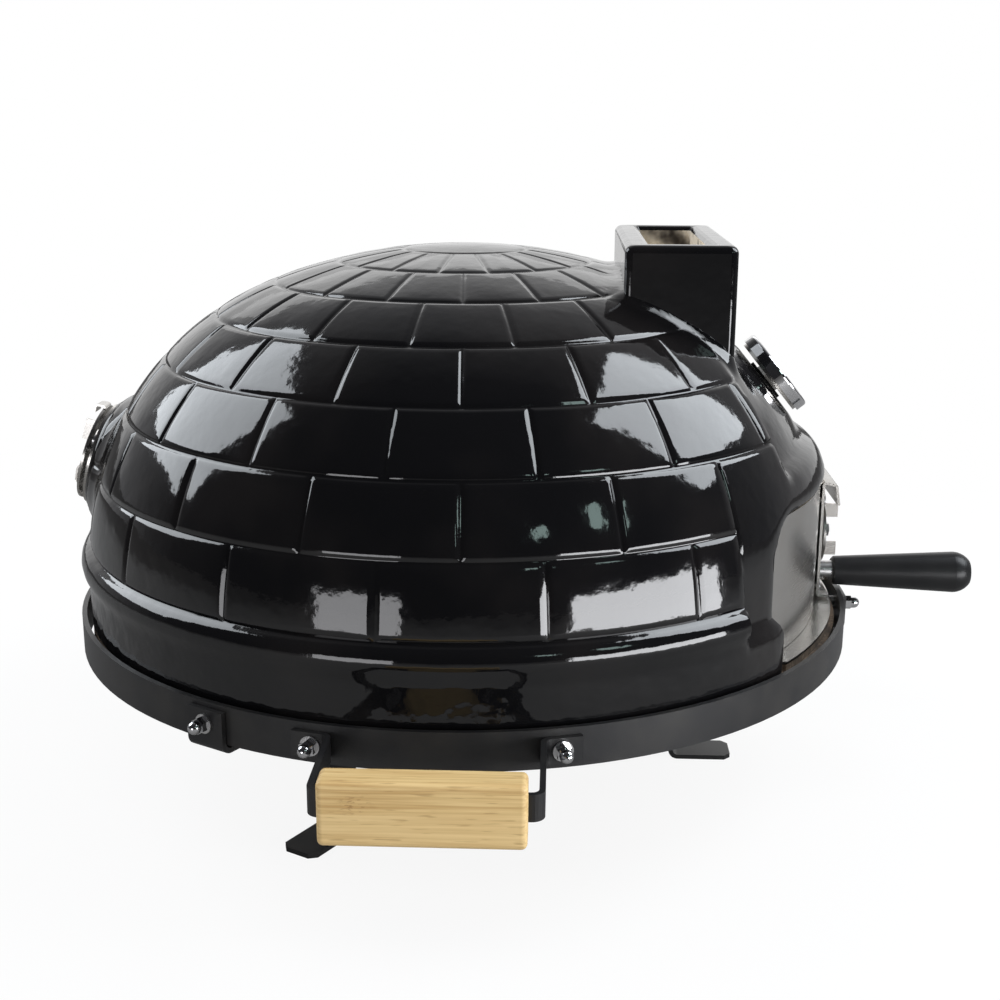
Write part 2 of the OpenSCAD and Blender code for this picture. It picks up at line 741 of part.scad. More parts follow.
// Curved stainless door
module door_panel() {
    color("#c4c4c0") place() difference() {
        intersection() {
            difference() {
                cylinder(r = door_r, h = 2 * rim_z);
                translate([0, 0, -1]) cylinder(r = door_r - door_t, h = 2 * rim_z + 2);
            }
            translate([0, -cavity_r / 2, 0]) rotate([90, 0, 0]) linear_extrude(band_r)
                polygon(arch_box(door_half, door_bottom, door_top, mouth_round - door_gap));
        }
        door_axis(door_r - 20, 0, door_vent_z) cylinder(r = door_vent_r - 3, h = 40);
        door_axis(door_r - 20, 0, handle_z) cylinder(r = stud_r + 0.2, h = 40);
        for (p = rivets) door_axis(door_r - 20, p[0], p[1]) cylinder(r = screw_r + 0.2, h = 40);
    }
}

// Flat plate with a curled hood above the vent and a lip below
module door_vent_plate() {
    mid = plate_f + vent_t / 2;
    line = [[plate_f + 11, door_top - 20], [plate_f + 9, door_top - 7], [mid, door_top - 5],
        [mid, rim_z + 2.6], [plate_f + 8, rim_z + 2.6]];
    color("#b9b9b6") place() difference() {
        bearing(0) upright(plate_w) strip(line, vent_t, 1.6);
        door_axis(plate_f - 1, 0, door_vent_z) {
            cylinder(r = pivot_r + run_fit, h = vent_t + 2);
            for (k = [0:3]) rotate([0, 0, 45 + 90 * k]) translate([port_ring * door_vent_r, 0, 0])
                cylinder(r = port_size * door_vent_r, h = vent_t + 2);
        }
        door_axis(plate_f - 1, 0, handle_z) cylinder(r = stud_r + 0.2, h = vent_t + 2);
        for (p = rivets) door_axis(plate_f - 1, p[0], p[1]) cylinder(r = screw_r + 0.2, h = vent_t + 2);
    }
}
module door_vent_rivets() {
    color("silver") place() for (p = rivets) {
        back = sqrt(pow(door_r - door_t, 2) - pow(abs(p[0]) + 3, 2)) - gap;
        door_axis(back - 1.2, p[0], p[1]) {
            cylinder(r = 1.5 * screw_r, h = 1.2);
            cylinder(r = screw_r, h = plate_outer - back + 1.2);
            translate([0, 0, plate_outer - back + 1.2]) cylinder(r = 2 * screw_r, h = 1.2);
        }
    }
}
module door_vent_spacer() {
    color("silver") place() door_axis(plate_outer, 0, door_vent_z) spacer(damper_f - plate_outer);
}

// Turning disc with two finger tabs
module door_damper() {
    tab = 9;
    color("#b9b9b6") place() door_axis(damper_f + gap, 0, door_vent_z) {
        ported_disc(door_vent_r, door_vent_r, vent_t);
        for (s = [-1, 1]) translate([0, s * 13, vent_t + fin_out / 2])
            cube([vent_t, tab, fin_out], center = true);
    }
}
module door_pivot() {
    color("silver") place() door_axis(plate_f, 0, door_vent_z) pivot(0, damper_outer - plate_f + gap + 5);
}
module door_vent_nut() { color("silver") place() door_axis(damper_outer + gap, 0, door_vent_z) pivot_nut(); }

// Handle: a stud through the door, a ferrule, a turned grip and a nut behind
grip_f = plate_f + 14;
module door_handle_stud() {
    from = door_r - door_t - 8;
    color("silver") place() door_axis(from, 0, handle_z) cylinder(r = stud_r, h = grip_f + 24 - from);
}
module door_handle_ferrule() {
    color("#8d8d8d") place() door_axis(plate_outer, 0, handle_z) difference() {
        cylinder(r = stud_r + 2.5, h = grip_f - plate_outer);
        translate([0, 0, -1]) cylinder(r = stud_r + run_fit, h = grip_f);
    }
}
module door_handle() {
    length = handle_reach - grip_f;
    color("#121212") place() door_axis(grip_f, 0, handle_z) difference() {
        rotate_extrude() polygon(concat([[0, 0], [handle_root_r - 1.5, 0], [handle_root_r, 1.5]],
            arc([0, length - handle_end_r * 0.8], handle_end_r, 0, 53, 10), [[0, length]]));
        translate([0, 0, -1]) cylinder(r = stud_r + run_fit, h = 26);
    }
}
module door_handle_nut() {
    back = door_r - door_t - gap;
    color("silver") place() door_axis(back - 5, 0, handle_z) difference() {
        cylinder(r = 6.5 / cos(30), h = 5, $fn = 6);
        translate([0, 0, -1]) cylinder(r = stud_r + run_fit, h = 7);
    }
}

dome();
base_slab();
base_band();
floor_plate();
pizza_stone();
leg_front();
leg_rear_left();
leg_rear_right();
leg_bolts();
leg_washers();
leg_nuts();
left_front_bracket();
left_rear_bracket();
right_front_bracket();
right_rear_bracket();
left_grip();
right_grip();
grip_screws();
bracket_bolts();
bracket_washers();
bracket_nuts();
thermometer_gasket();
thermometer_case();
thermometer_bezel();
thermometer_dial();
thermometer_glass();
thermometer_pointer();
thermometer_stem();
thermometer_nut();
rear_vent_plate();
rear_vent_screws();
rear_vent_spacer();
rear_vent_damper();
rear_vent_pivot();
rear_vent_nut();
door_panel();
door_vent_plate();
door_vent_rivets();
door_vent_spacer();
door_damper();
door_pivot();
door_vent_nut();
door_handle_stud();
door_handle_ferrule();
door_handle();
door_handle_nut();
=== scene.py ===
import math

import bmesh
import bpy
from mathutils import Matrix, Quaternion, Vector


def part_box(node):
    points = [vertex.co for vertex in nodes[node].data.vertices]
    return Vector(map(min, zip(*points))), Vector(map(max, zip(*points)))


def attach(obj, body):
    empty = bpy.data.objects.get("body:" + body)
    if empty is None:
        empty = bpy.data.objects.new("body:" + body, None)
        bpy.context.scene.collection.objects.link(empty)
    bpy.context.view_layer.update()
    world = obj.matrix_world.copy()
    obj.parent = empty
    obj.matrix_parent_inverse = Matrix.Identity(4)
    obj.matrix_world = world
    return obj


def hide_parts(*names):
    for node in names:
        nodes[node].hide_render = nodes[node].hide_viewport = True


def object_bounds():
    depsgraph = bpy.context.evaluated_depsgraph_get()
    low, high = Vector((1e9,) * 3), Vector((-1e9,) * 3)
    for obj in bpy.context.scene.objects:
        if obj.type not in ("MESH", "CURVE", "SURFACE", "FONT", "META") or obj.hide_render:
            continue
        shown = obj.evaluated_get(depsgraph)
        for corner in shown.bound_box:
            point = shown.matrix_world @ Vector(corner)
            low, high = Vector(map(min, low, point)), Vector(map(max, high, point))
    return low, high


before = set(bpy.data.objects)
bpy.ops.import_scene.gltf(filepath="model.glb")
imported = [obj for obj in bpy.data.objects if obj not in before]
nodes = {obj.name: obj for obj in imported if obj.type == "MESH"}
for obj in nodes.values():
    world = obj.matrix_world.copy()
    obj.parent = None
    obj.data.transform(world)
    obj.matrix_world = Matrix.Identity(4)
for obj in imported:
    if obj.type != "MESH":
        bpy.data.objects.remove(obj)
cad_low, cad_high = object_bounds()
mm = 0.001

# Base band, legs and handle brackets
# Mild steel strip, cut, drilled and bent cold, then sprayed with satin black powder and baked.
# The hoop holds the slab, and each strip is bolted to it through one hole.


class Wire:
    """A socket in a node tree: sums on it add Math nodes, and node() adds any other node."""

    def __init__(self, tree, socket=None):
        self.tree = tree
        self.socket = socket

    def node(self, kind, settings, inputs, out=0):
        """Adds a node, with its settings first, then the values or links of its sockets."""
        made = self.tree.nodes.new(kind)
        for name, value in settings.items():
            if name == "stops":
                ramp = made.color_ramp.elements
                while len(ramp) < len(value):
                    ramp.new(1)
                for element, (place, colour) in zip(ramp, value):
                    element.position = place
                    element.color = colour
            else:
                setattr(made, name, value)
        for name, value in inputs.items():
            if isinstance(value, Wire):
                self.tree.links.new(value.socket, made.inputs[name])
            else:
                made.inputs[name].default_value = value
        return Wire(self.tree, made.outputs[out] if made.outputs else None)

    def math(self, operation, *values):
        return self.node("ShaderNodeMath", {"operation": operation}, dict(enumerate((self, *values))))

    def __add__(self, other):
        return self.math("ADD", other)

    __radd__ = __add__

    def __sub__(self, other):
        return self.math("SUBTRACT", other)

    def __rsub__(self, other):
        return self * -1 + other

    def __mul__(self, other):
        return self.math("MULTIPLY", other)

    __rmul__ = __mul__

    def __truediv__(self, other):
        return self.math("DIVIDE", other)

    def __mod__(self, other):
        return self.math("FLOORED_MODULO", other)

    def __pow__(self, other):
        return self.math("POWER", other)

    def __neg__(self):
        return self * -1

    def __abs__(self):
        return self.math("ABSOLUTE")

    def above(self, other):
        return self.math("GREATER_THAN", other)

    def at_least(self, other):
        return self.math("MAXIMUM", other)

    def at_most(self, other):
        return self.math("MINIMUM", other)

    def step(self, low, high):
        """Goes softly from 0 at low to 1 at high."""
        ends = {"Value": self, "From Min": low, "From Max": high}
        return self.node("ShaderNodeMapRange", {"interpolation_type": "SMOOTHSTEP"}, ends)

    def parts(self):
        """The three parts of a vector."""
        made = self.node("ShaderNodeSeparateXYZ", {}, {0: self}).socket.node
        return [Wire(self.tree, socket) for socket in made.outputs]

    def times(self, x, y, z):
        """A vector stretched along its axes."""
        return self.node("ShaderNodeVectorMath", {"operation": "MULTIPLY"}, {0: self, 1: (x, y, z)})

    def noise(self, scale, detail=2):
        """Cloudy noise over a vector."""
        return self.node("ShaderNodeTexNoise", {}, {"Vector": self, "Scale": scale, "Detail": detail})

    def blend(self, low, high):
        """The colour low where this is 0 and high where it is 1."""
        return self.node("ShaderNodeMix", {"data_type": "RGBA"}, {0: self, 6: low, 7: high}, 2)

    def bump(self, strength, distance):
        return self.node("ShaderNodeBump", {}, {"Height": self, "Strength": strength, "Distance": distance})


def finish(name):
    """A new material: its data, a Wire to start from, and the point on the surface."""
    made = bpy.data.materials.new(name)
    made.use_nodes = True
    made.node_tree.nodes.clear()
    start = Wire(made.node_tree)
    return made, start, start.node("ShaderNodeTexCoord", {}, {}, "Object")


def surface(start, sockets):
    """Ends a material in one shader with these sockets."""
    shader = start.node("ShaderNodeBsdfPrincipled", {}, sockets)
    start.node("ShaderNodeOutputMaterial", {}, {"Surface": shader})


def dress(material, *names):
    """Gives carried-over pieces a material."""
    for name in names:
        for slot in nodes[name].material_slots:
            slot.material = material


powder_coat, start, point = finish("powder_coat")
grain = point.noise(1900, 2)
wear = point.noise(38, 3)
surface(start, {
    "Base Color": wear.step(0.35, 0.75).blend((0.011, 0.011, 0.012, 1), (0.021, 0.020, 0.019, 1)),
    "Roughness": 0.26 + 0.14 * grain + 0.08 * wear,
    "Normal": grain.bump(0.5, 0.12 * mm),
})
dress(powder_coat, "base_band", "leg_front", "leg_rear_left", "leg_rear_right")
dress(powder_coat, "left_front_bracket", "left_rear_bracket", "right_front_bracket", "right_rear_bracket")

# Refractory slab and baking stone
# Cast chamotte, a brown gritty fire clay, poured as one disc inside the hoop.
# The loose stone on the floor is pressed from paler cordierite.
fire_clay, start, point = finish("fire_clay")
grit = point.noise(520, 3)
stain = point.noise(22, 3)
clay = grit.step(0.35, 0.68).blend((0.085, 0.060, 0.042, 1), (0.225, 0.165, 0.115, 1))
surface(start, {
    "Base Color": stain.step(0.42, 0.68).blend(clay, (0.035, 0.026, 0.020, 1)),
    "Roughness": 0.80 + 0.15 * grit,
    "Normal": grit.bump(0.7, 0.4 * mm),
})
dress(fire_clay, "base_slab")

cordierite, start, point = finish("cordierite")
grit = point.noise(640, 3)
scorch = point.noise(13, 4)
stone = grit.step(0.3, 0.7).blend((0.52, 0.44, 0.33, 1), (0.66, 0.58, 0.46, 1))
surface(start, {
    "Base Color": scorch.step(0.5, 0.78).blend(stone, (0.19, 0.13, 0.085, 1)),
    "Roughness": 0.82 + 0.12 * grit,
    "Normal": grit.bump(0.5, 0.3 * mm),
})
dress(cordierite, "pizza_stone")

# Floor plate
# Stainless sheet, rolled bright and cut in one piece with the landing before the door.
# It lies loose on the slab, inside the foot of the dome.
stainless, start, point = finish("stainless")
streak = point.times(30, 30, 1400).noise(1, 3)
smear = point.noise(26, 3)
surface(start, {
    "Base Color": smear.step(0.3, 0.8).blend((0.60, 0.585, 0.56, 1), (0.50, 0.475, 0.44, 1)),
    "Metallic": 1,
    "Roughness": 0.14 + 0.12 * streak + 0.10 * smear,
    "Normal": streak.bump(0.12, 0.03 * mm),
})
dress(stainless, "floor_plate")

# Fasteners
# Cold-formed steel screws and washers in bright zinc, and turned acorn nuts in chrome.
# One set goes through the hoop for each leg and bracket, and wood screws hold the grips.
bright_zinc, start, point = finish("bright_zinc")
cloud = point.noise(160, 3)
surface(start, {
    "Base Color": cloud.blend((0.60, 0.60, 0.62, 1), (0.72, 0.71, 0.69, 1)),
    "Metallic": 1,
    "Roughness": 0.20 + 0.16 * cloud,
})
dress(bright_zinc, "leg_bolts", "leg_washers", "bracket_bolts", "bracket_washers", "grip_screws")
chrome, start, point = finish("chrome")
smear = point.noise(90, 3)
surface(start, {
    "Base Color": smear.blend((0.80, 0.80, 0.81, 1), (0.72, 0.72, 0.73, 1)),
    "Metallic": 1,
    "Roughness": 0.05 + 0.09 * smear.step(0.4, 0.8),
})
dress(chrome, "leg_nuts", "bracket_nuts")

# Dome
# One ceramic casting with brick relief, portal, chimney and vent boss, dipped in black glaze and fired.
# The glaze rounds every edge and pools in the joints; the flue and the inside stay raw.
base_low, base_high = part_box("base_band")
axis_y = (base_low.y + base_high.y) / 2
rim_z = base_high.z
seat_z = rim_z - 6 * mm
wall = 24 * mm
bricks = 17
courses = 7
crown_courses = 2
course = 42.2 * mm
cap = 39 * mm
crown_r = 345 * mm
shoulder_r = 188.05 * mm
lowest_joint = rim_z + 44 * mm
crown_s = cap + crown_courses * course
crown_end = crown_s / crown_r
shoulder_x = (crown_r - shoulder_r) * math.sin(crown_end)
lowest_lean = crown_end + (courses - crown_courses) * course / shoulder_r
shoulder_z = lowest_joint - shoulder_r * math.cos(lowest_lean)
crown_z = shoulder_z + (shoulder_r - crown_r) * math.cos(crown_end)
skirt_r = 244 * mm
chimney_front = 131 * mm
chimney_half_x = 83 * mm
chimney_half_y = 33 * mm
chimney_round = 4.5 * mm
mouth_half = 150 * mm
mouth_top = 86 * mm
mouth_round = 28 * mm
vent_reach = 234.49 * mm
vent_z = 204.82 * mm
vent_lean = math.radians(72.7)
boss_r = 38 * mm
dome_sizes = {
    "Crown radius": crown_r,
    "Crown height": crown_z,
    "Shoulder radius": shoulder_r,
    "Shoulder reach": shoulder_x,
    "Shoulder height": shoulder_z,
    "Course": course,
    "Cap": cap,
    "Brick pitch": math.tau / bricks,
    "Brick turn": math.radians(2.3),
    "Joint width": 2.5 * mm,
    "Joint depth": 1.15 * mm,
    "Brick pillow": 0.3 * mm,
    "Unevenness": 0.35 * mm,
    "Lowest joint": lowest_joint,
    "Seat": seat_z,
    "Ledge reach": 236 * mm,
    "Ledge height": rim_z + 34 * mm,
    "Ledge round": 12 * mm,
    "Skirt radius": skirt_r,
    "Portal angle": math.radians(47),
    "Portal radius": 238 * mm,
    "Panel angle": math.radians(31),
    "Panel top": 157 * mm,
    "Panel depth": 8 * mm,
    "Hood": 279.6 * mm,
    "Hood round": 20 * mm,
    "Chimney centre": chimney_front,
    "Chimney half width": chimney_half_x,
    "Chimney half length": chimney_half_y,
    "Chimney round": chimney_round,
    "Mouth half width": mouth_half,
    "Mouth height": mouth_top,
    "Mouth round": mouth_round,
    "Floor": rim_z,
    "Vent reach": vent_reach,
    "Vent height": vent_z,
    "Vent lean": vent_lean,
    "Boss radius": boss_r,
}


def size_tree(name, sizes):
    """A Geometry Nodes tree with one named input for each size, and Wires from those inputs."""
    tree = bpy.data.node_groups.new(name, "GeometryNodeTree")
    tree.interface.new_socket("Geometry", in_out="OUTPUT", socket_type="NodeSocketGeometry")
    for size in sizes:
        tree.interface.new_socket(size, in_out="INPUT", socket_type="NodeSocketFloat")
    given = tree.nodes.new("NodeGroupInput")
    return tree, {size: Wire(tree, given.outputs[size]) for size in sizes}


def settle(piece):
    """Turns a piece and its modifiers into a plain mesh with its faces pointing outwards."""
    now = piece.evaluated_get(bpy.context.evaluated_depsgraph_get())
    plain = bpy.data.meshes.new_from_object(now)
    piece.modifiers.clear()
    piece.data = plain
    tidy = bmesh.new()
    tidy.from_mesh(plain)
    bmesh.ops.remove_doubles(tidy, verts=tidy.verts, dist=0.002 * mm)
    bmesh.ops.recalc_face_normals(tidy, faces=tidy.faces)
    tidy.to_mesh(plain)
    tidy.free()


def grow(name, shape, material, sizes):
    """Ends a tree in Realize Instances and Set Material, and turns its result into a plain piece."""
    whole = shape.node("GeometryNodeRealizeInstances", {}, {"Geometry": shape})
    whole = shape.node("GeometryNodeSetMaterial", {}, {"Geometry": whole, "Material": material})
    shape.node("NodeGroupOutput", {}, {"Geometry": whole})
    piece = bpy.data.objects.new(name, bpy.data.meshes.new(name))
    bpy.context.scene.collection.objects.link(piece)
    grown = piece.modifiers.new(shape.tree.name, "NODES")
    grown.node_group = shape.tree
    for item in shape.tree.interface.items_tree:
        if item.in_out == "INPUT":
            grown[item.identifier] = sizes[item.name]
    settle(piece)
    return piece


def crowd(place, pull):
    """Draws evenly spaced rows together near the whole numbers, where the joints are."""
    whole = place.math("FLOOR")
    part = place - whole
    return whole + part - (part * math.tau).math("SINE") * (pull / math.tau)


def from_box(u, v, half_u, half_v, corner):
    """Distance of a point from a box with round corners, below 0 inside it."""
    du = abs(u) - half_u + corner
    dv = abs(v) - half_v + corner
    outside = (du.at_least(0) ** 2 + dv.at_least(0) ** 2).math("SQRT")
    return outside + du.at_least(dv).at_most(0) - corner


def fillet(distance, radius):
    """Rise of a soft fillet that meets a wall at distance 0."""
    near = (1 - distance / radius).at_least(0).at_most(1)
    return 0.36 * radius * near * near


# A flat grid, whose columns go round the dome and whose rows go down it
tree, size = size_tree("Brick dome", dome_sizes)
start = Wire(tree)
half_brick_columns = 15
course_rows = 16
last_row = 8.3
grid = start.node("GeometryNodeMeshGrid", {}, {
    "Size X": 1,
    "Size Y": 1,
    "Vertices X": 2 * bricks * half_brick_columns + 1,
    "Vertices Y": math.ceil(last_row) * course_rows + 1,
})
across, along = start.node("GeometryNodeInputPosition", {}, {}).parts()[:2]

# The bearing from the front, with columns drawn to the upright joints and to the portal's sides
turn = crowd((across + 0.5) * 2 * bricks, 0.7) * (math.pi / bricks) - size["Brick turn"]
turn = turn % math.tau - math.pi
swing = abs(turn)
off_portal = swing - size["Portal angle"]
pull_width = 0.045
swing = swing - 0.7 * off_portal * (-((off_portal / pull_width) ** 2)).math("EXPONENT")
turn = turn.math("SIGN") * swing

# The arc length down the outline, counted in courses from the first joint
down = along + 0.5
cap_rows = cap / course
count = crowd(down * (last_row + cap_rows) - cap_rows, 0.75)
arc = (count * size["Course"] + size["Cap"]).at_least(0)
on_shoulder = arc.above(crown_s)
radius = size["Crown radius"] + on_shoulder * (size["Shoulder radius"] - size["Crown radius"])
lean = crown_end + (arc - crown_s) / radius
arc_r = on_shoulder * size["Shoulder reach"] + radius * lean.math("SINE")
arc_z = radius * lean.math("COSINE") + size["Crown height"] + on_shoulder * (
    size["Shoulder height"] - size["Crown height"])

# Ledge and skirt below the lowest joint
on_skirt = count.above(courses)
skirt_z = (size["Lowest joint"] - (count - courses) * size["Course"]).at_least(size["Seat"])
hump = (size["Ledge round"] ** 2 - (skirt_z - size["Ledge height"]) ** 2).at_least(0).math("SQRT")
hump = hump + size["Ledge reach"]
under = size["Ledge height"].above(skirt_z)
below_r = hump + under * (hump.math("SMOOTH_MAX", size["Skirt radius"], 3 * mm) - hump)
out_r = arc_r + on_skirt * (below_r - arc_r)
out_z = arc_z + on_skirt * (skirt_z - arc_z)
face_r = lean.math("SINE") + on_skirt * (1 - lean.math("SINE"))
face_z = lean.math("COSINE") * (1 - on_skirt)

# The portal's smooth face
in_portal = off_portal.step(math.radians(0.4), math.radians(-0.7))
smooth_r = arc_r + on_skirt * (size["Skirt radius"] - arc_r)
smooth_r = smooth_r.math("SMOOTH_MIN", size["Portal radius"], 5 * mm)
foot = on_skirt * skirt_z.step(size["Floor"] + 31 * mm, size["Floor"] + 22 * mm)
smooth_r = smooth_r + foot * (size["Skirt radius"] - size["Portal radius"])
out_r = out_r + in_portal * (smooth_r - out_r)
side = out_r * turn.math("SINE")
front = out_r * turn.math("COSINE")

# Joints and bricks
course_no = count.math("FLOOR")
stagger = (turn + size["Brick turn"]) / size["Brick pitch"] + 0.5 * (course_no % 2)
to_upright = abs(stagger % 1 - 0.5) * size["Brick pitch"] * out_r
to_ring = abs((count + 0.5) % 1 - 0.5) * size["Course"]
in_courses = count.step(-0.12, 0) * count.step(courses + 0.12, courses)
in_bricks = count.above(0) * (1 - on_skirt)
frame_part = in_portal * count.step(4.98, 5.02)
panel_rows = arc.step(size["Panel top"], size["Panel top"] + 8 * mm)
panel_rows = panel_rows * arc.step(size["Hood"] + 5.4 * mm, size["Hood"] - 4.6 * mm)
in_panel = swing.step(size["Panel angle"] + 0.004, size["Panel angle"] - 0.021) * panel_rows
relief = 1 - frame_part.at_least(in_panel)
ring_groove = to_ring.step(size["Joint width"], 0) * in_courses * (1 - in_panel)
ring_groove = ring_groove * (1 - in_portal * count.step(5.3, 5.5))
upright_groove = to_upright.step(size["Joint width"], 0) * in_bricks * relief
edge_groove = (abs(off_portal) * out_r).step(size["Joint width"], 0) * count.step(4.95, 5)
edge_groove = edge_groove * (1 - foot)
groove = ring_groove.at_least(upright_groove).at_least(edge_groove)
to_chimney = from_box(side, front - size["Chimney centre"], size["Chimney half width"],
    size["Chimney half length"], size["Chimney round"])
groove = groove * (1 - to_chimney.step(14 * mm, 4 * mm) * front.above(0))
pillow = to_upright.step(0, 15 * mm) * to_ring.step(0, 12 * mm) * in_bricks * relief
raised = pillow * size["Brick pillow"] - groove * size["Joint depth"] * (0.6 + 0.4 * count.step(1, 3))

# The recessed panel over the hood
above_hood = (size["Hood"] - arc).at_least(0)
sink = size["Hood round"] - (size["Hood round"] ** 2 - above_hood ** 2).at_least(0).math("SQRT")
sink = sink.math("SMOOTH_MIN", size["Panel depth"], 3 * mm)
sink = sink * swing.step(size["Panel angle"] + 0.015, size["Panel angle"] - 0.015)
sink = sink * arc.step(size["Panel top"] - 4 * mm, size["Panel top"] + 2 * mm)
beside_chimney = front.step(190 * mm, 150 * mm) * abs(side).step(60 * mm, size["Chimney half width"])
raised = raised - sink * (1 - beside_chimney)

# Round glaze at the chimney's foot, at the boss and along the mouth
raised = raised + fillet(to_chimney, 10 * mm) * front.above(0) * (1 - on_skirt)
vent_front = front + size["Vent reach"]
vent_up = out_z - size["Vent height"]
along_vent = vent_up * size["Vent lean"].math("COSINE") - vent_front * size["Vent lean"].math("SINE")
off_vent = (side ** 2 + vent_front ** 2 + vent_up ** 2 - along_vent ** 2).at_least(0).math("SQRT")
raised = raised + fillet(off_vent - size["Boss radius"], 20 * mm) * (1 - front.above(0))
to_mouth = from_box(side, out_z - size["Floor"], size["Mouth half width"], size["Mouth height"],
    size["Mouth round"])
raised = raised - fillet(to_mouth, 6 * mm) * front.above(0)
spot = start.node("ShaderNodeCombineXYZ", {}, {"X": side, "Y": front, "Z": out_z})
raised = raised + (spot.noise(16, 2) - 0.5) * size["Unevenness"] * 2 * (1 - on_skirt)

# The last row closes the shape at its axis
closed = down.above(0.9995)
out_r = (out_r + raised * face_r) * (1 - closed)
out_z = out_z + raised * face_z
surface_point = start.node("ShaderNodeCombineXYZ", {}, {
    "X": out_r * turn.math("SINE"), "Y": axis_y - out_r * turn.math("COSINE"), "Z": out_z})
shaped = start.node("GeometryNodeSetPosition", {}, {"Geometry": grid, "Position": surface_point})
shaped = start.node("GeometryNodeMergeByDistance", {}, {"Geometry": shaped, "Distance": 0.01 * mm})

black_glaze, start, point = finish("black_glaze")
wave = point.noise(55, 2)
peel = point.noise(170, 3)
flow = point.noise(12, 3)
up = point.parts()[2]
wavy_skirt = 1 + 2 * up.step(rim_z + 30 * mm, rim_z + 16 * mm)
surface(start, {
    "Base Color": flow.step(0.4, 0.75).blend((0.0035, 0.0035, 0.004, 1), (0.009, 0.008, 0.008, 1)),
    "Roughness": 0.045 + 0.05 * flow,
    "IOR": 1.6,
    "Normal": (wave * wavy_skirt + 0.22 * peel).bump(0.45, 0.8 * mm),
})
dome = grow("glazed_dome", shaped, black_glaze, dome_sizes)


def skin(name, rings, ends):
    """A piece from rings of points: its ends are capped, or joined to each other."""
    made = bmesh.new()
    rows = [[made.verts.new(point) for point in ring] for ring in rings]
    pairs = list(zip(rows, rows[1:]))
    if ends == "joined":
        pairs.append((rows[-1], rows[0]))
    else:
        made.faces.new(rows[0])
        made.faces.new(rows[-1])
    for low, high in pairs:
        for i in range(len(low)):
            j = (i + 1) % len(low)
            made.faces.new((low[i], low[j], high[j], high[i]))
    bmesh.ops.recalc_face_normals(made, faces=made.faces)
    mesh = bpy.data.meshes.new(name)
    made.to_mesh(mesh)
    made.free()
    piece = bpy.data.objects.new(name, mesh)
    bpy.context.scene.collection.objects.link(piece)
    return piece


def turned(outline, place, steps=96):
    """Rings of a turned shape: radii and heights along the Z axis of a place."""
    angles = [math.tau * k / steps for k in range(steps)]
    return [[place @ Vector((r * math.cos(a), r * math.sin(a), z)) for a in angles] for r, z in outline]


def arc_points(x, y, r, from_deg, to_deg, steps=8):
    """Points of an arc in a plane."""
    angles = [math.radians(from_deg + (to_deg - from_deg) * k / steps) for k in range(steps + 1)]
    return [(x + r * math.cos(a), y + r * math.sin(a)) for a in angles]


def join(piece, other, how):
    """Adds another closed shape to a piece, or cuts it away, and drops the other."""
    cut = piece.modifiers.new(how, "BOOLEAN")
    cut.operation = how
    cut.solver = "MANIFOLD"
    cut.object = other
    settle(piece)
    bpy.data.objects.remove(other)


def round_plan(half_x, half_y, corner):
    """A rectangle with round corners, about the origin."""
    x, y = half_x - corner, half_y - corner
    return (arc_points(x, y, corner, 0, 90) + arc_points(-x, y, corner, 90, 180)
        + arc_points(-x, -y, corner, 180, 270) + arc_points(x, -y, corner, 270, 360))


# Chimney: up the outside, round the rim and down the flue
chimney_y = axis_y - chimney_front
chimney_top = cad_high.z
root = -60 * mm
root_slope = 0.55
lip = 4.5 * mm
flue_wall = 12 * mm
flue_end_wall = 15.5 * mm
path = [(0, root), (0, -lip)]
path += [(lip - lip * math.cos(a), lip * math.sin(a) - lip) for a in (0.2, 0.45, 0.75, 1.1, 1.4)]
path += [(lip, 0), (flue_wall - 3 * mm, 0), (flue_wall - 1.2 * mm, -0.7 * mm), (flue_wall, -3 * mm)]
path += [(flue_wall, root)]
rings = []
for inset, drop in path:
    end_inset = inset * flue_end_wall / flue_wall if inset > lip else inset
    corner = max(chimney_round - 0.2 * inset, 2 * mm)
    plan = round_plan(chimney_half_x - inset, chimney_half_y - end_inset, corner)
    slope = root_slope if drop == root else 0
    rings.append([Vector((x, chimney_y + y, chimney_top + drop + slope * (y - 18 * mm))) for x, y in plan])
join(dome, skin("chimney", rings, "joined"), "UNION")
clear = 0.1 * mm
flue_half_x = chimney_half_x - flue_wall - clear
flue_half_y = chimney_half_y - flue_end_wall - clear
flue_plan = round_plan(flue_half_x, flue_half_y, 2.1 * mm)
flue_ends = (180 * mm, chimney_top + 10 * mm)
flue = skin("flue", [[Vector((x, chimney_y + y, z)) for x, y in flue_plan] for z in flue_ends], "capped")
join(dome, flue, "DIFFERENCE")

# Boss of the rear vent
vent_place = Matrix.Translation((0, axis_y + vent_reach, vent_z)) @ Matrix.Rotation(-vent_lean, 4, "X")
boss_edge = 5 * mm
boss_flat = 2 * mm
near_axis = 0.2 * mm
boss = [(near_axis, -18 * mm), (boss_r, -18 * mm), (boss_r, boss_flat)]
boss += [(boss_r - boss_edge + r, boss_flat + z) for r, z in arc_points(0, 0, boss_edge, 10, 90)]
boss += [(near_axis, boss_flat + boss_edge)]
join(dome, skin("boss", turned(boss, vent_place), "capped"), "UNION")
vent_hole = turned([(24 * mm, -40 * mm), (24 * mm, 12 * mm)], vent_place)
join(dome, skin("vent", vent_hole, "capped"), "DIFFERENCE")

# Hollow inside
crown_deg = math.degrees(crown_end)
skirt_inside = 219 * mm
hollow = [(near_axis, crown_z + crown_r - wall)]
hollow += [(r, crown_z + z) for r, z in arc_points(0, 0, crown_r - wall, 87, 90 - crown_deg, 6)]
hollow += [(shoulder_x + r, shoulder_z + z)
    for r, z in arc_points(0, 0, shoulder_r - wall, 88 - crown_deg, 0, 20)]
hollow += [(skirt_inside, seat_z - 20 * mm)]
axis_place = Matrix.Translation((0, axis_y, 0))
join(dome, skin("hollow", turned(hollow, axis_place, 144), "capped"), "DIFFERENCE")


